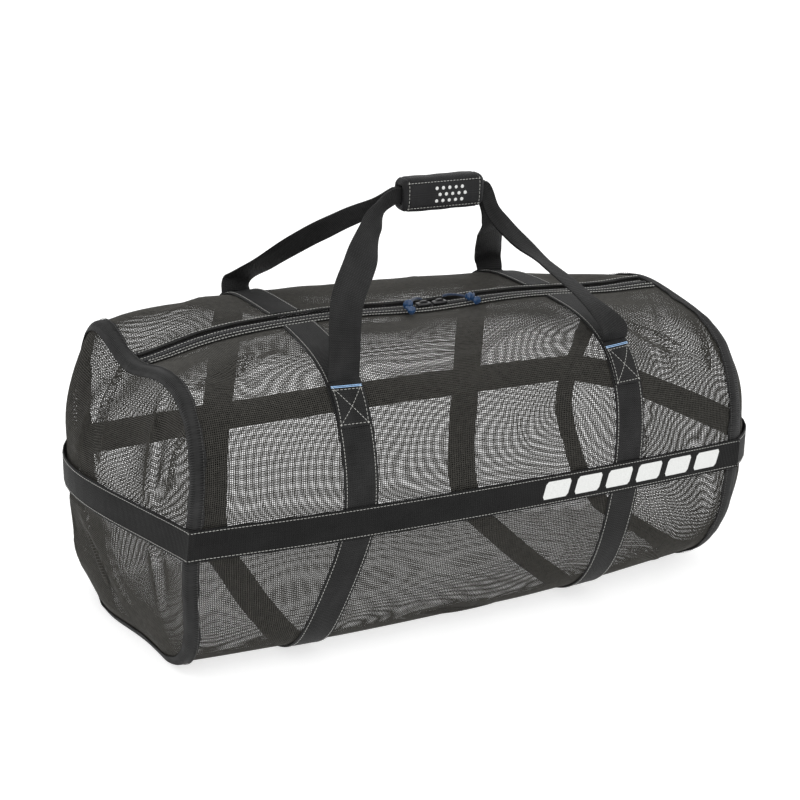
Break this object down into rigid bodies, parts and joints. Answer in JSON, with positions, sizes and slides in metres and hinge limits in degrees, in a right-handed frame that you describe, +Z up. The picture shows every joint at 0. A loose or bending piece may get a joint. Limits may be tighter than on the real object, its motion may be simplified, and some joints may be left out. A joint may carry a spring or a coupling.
{
  "type": "mesh dive gear bag",
  "caption": "Barrel-shaped duffel of open black net with sewn webbing straps, a waist band, a long top zipper and webbing handles held by a padded grip.",
  "frame": {"origin": "under the middle of the bag, on the plane it stands on", "axes": "+X along the bag to the right end as seen from the front, +Z up, the front with the wide side of the net towards -Y"},
  "size_m": [0.884, 0.414, 0.541],
  "materials": {
    "net": "open polyester net",
    "webbing": "woven polypropylene webbing",
    "grip_cloth": "smooth padded cloth",
    "zipper_cloth": "woven zipper tape",
    "black_plastic": "moulded",
    "blue_plastic": "soft moulded"
  },
  "bodies": {
    "root": {"mesh_body": "net", "end_panel_left": "net", "end_panel_right": "net", "end_binding_left": "webbing", "end_binding_right": "webbing", "strap_left": "webbing", "strap_right": "webbing", "band": "webbing", "hem_front": "webbing", "hem_back": "webbing", "zipper_tape": "zipper_cloth", "zipper_coil": "black_plastic", "slider_left": "black_plastic", "slider_right": "black_plastic", "pull_left": "blue_plastic", "pull_right": "blue_plastic", "handle_front": "webbing", "handle_back": "webbing", "handle_grip": "grip_cloth"}
  },
  "joints": []
}
